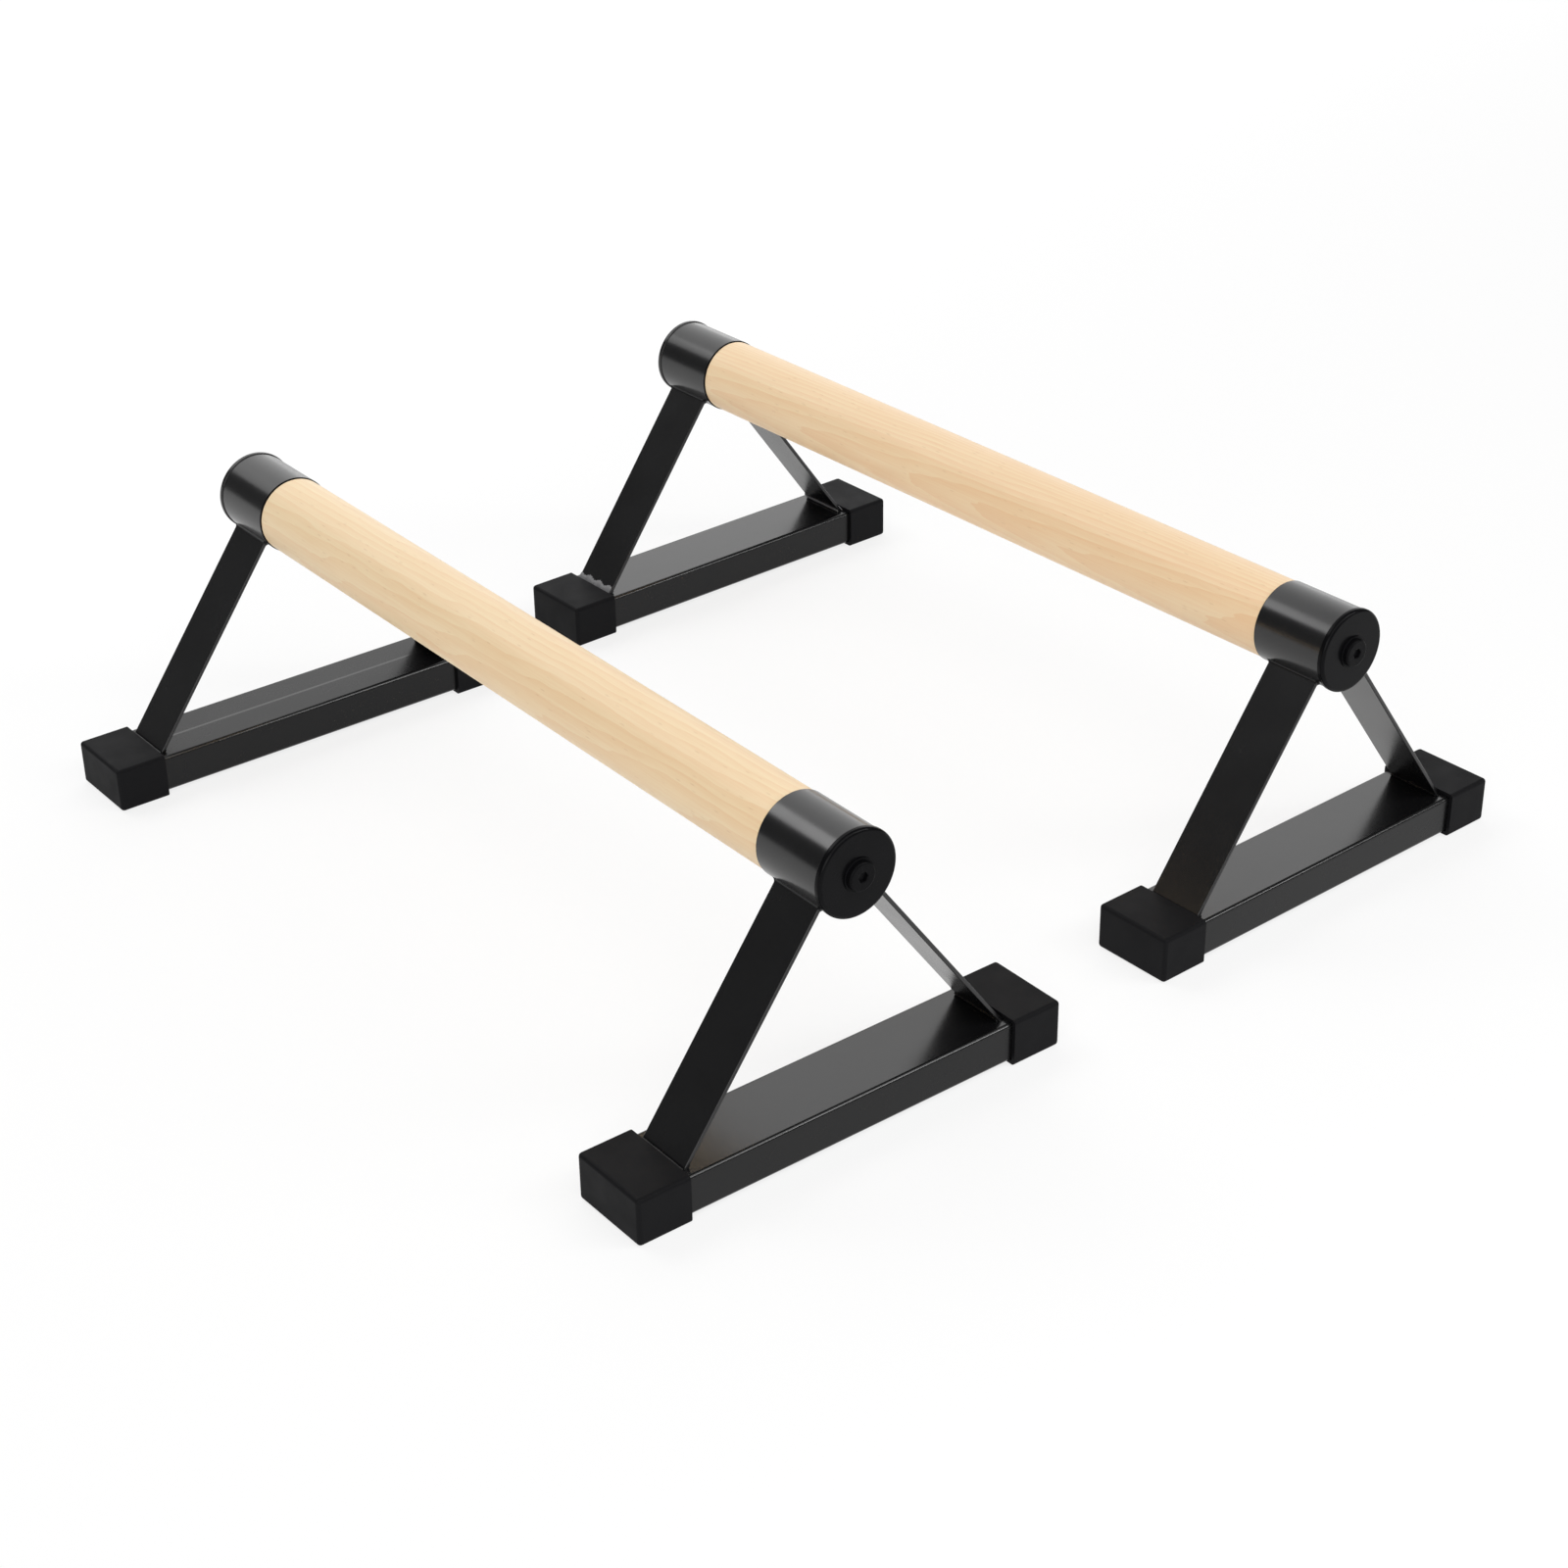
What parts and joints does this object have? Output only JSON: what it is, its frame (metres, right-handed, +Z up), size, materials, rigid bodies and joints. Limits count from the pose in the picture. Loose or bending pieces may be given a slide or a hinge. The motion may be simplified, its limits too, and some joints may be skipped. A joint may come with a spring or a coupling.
{
  "type": "parallette bars",
  "caption": "Low parallette bars: round beech grips bolted into black steel end frames that stand on rubber-capped base tubes, for push-ups, dips and handstands.",
  "frame": {"origin": "on the floor, midway between the two bars", "axes": "+X along the bars towards their front ends, +Y from the left bar to the right bar, +Z up"},
  "size_m": [0.526, 0.544, 0.1575],
  "materials": {
    "beech": "turned, sanded, clear lacquer",
    "frame_black": "gloss black powder coat",
    "rubber_black": "moulded, matt",
    "plug_black": "moulded, satin",
    "bolt_black": "black oxide",
    "insert_brass": "turned"
  },
  "bodies": {
    "left_bar": {"left_grip_bar": "beech", "left_front_base_tube": "frame_black", "left_front_welds": "frame_black", "left_front_sleeve": "frame_black", "left_front_end_plug": "plug_black", "left_front_bolt": "bolt_black", "left_front_washer": "bolt_black", "left_front_thread_insert": "insert_brass", "left_front_outer_leg": "frame_black", "left_front_outer_foot_cap": "rubber_black", "left_front_inner_leg": "frame_black", "left_front_inner_foot_cap": "rubber_black", "left_rear_base_tube": "frame_black", "left_rear_welds": "frame_black", "left_rear_sleeve": "frame_black", "left_rear_end_plug": "plug_black", "left_rear_bolt": "bolt_black", "left_rear_washer": "bolt_black", "left_rear_thread_insert": "insert_brass", "left_rear_outer_leg": "frame_black", "left_rear_outer_foot_cap": "rubber_black", "left_rear_inner_leg": "frame_black", "left_rear_inner_foot_cap": "rubber_black"},
    "right_bar": {"right_grip_bar": "beech", "right_front_base_tube": "frame_black", "right_front_welds": "frame_black", "right_front_sleeve": "frame_black", "right_front_end_plug": "plug_black", "right_front_bolt": "bolt_black", "right_front_washer": "bolt_black", "right_front_thread_insert": "insert_brass", "right_front_outer_leg": "frame_black", "right_front_outer_foot_cap": "rubber_black", "right_front_inner_leg": "frame_black", "right_front_inner_foot_cap": "rubber_black", "right_rear_base_tube": "frame_black", "right_rear_welds": "frame_black", "right_rear_sleeve": "frame_black", "right_rear_end_plug": "plug_black", "right_rear_bolt": "bolt_black", "right_rear_washer": "bolt_black", "right_rear_thread_insert": "insert_brass", "right_rear_outer_leg": "frame_black", "right_rear_outer_foot_cap": "rubber_black", "right_rear_inner_leg": "frame_black", "right_rear_inner_foot_cap": "rubber_black"}
  },
  "joints": [
    {"name": "bar_spacing", "type": "slide", "parent": "left_bar", "child": "right_bar", "axis": [0, 1, 0], "range_m": [-0.05, 0.3]}
  ]
}
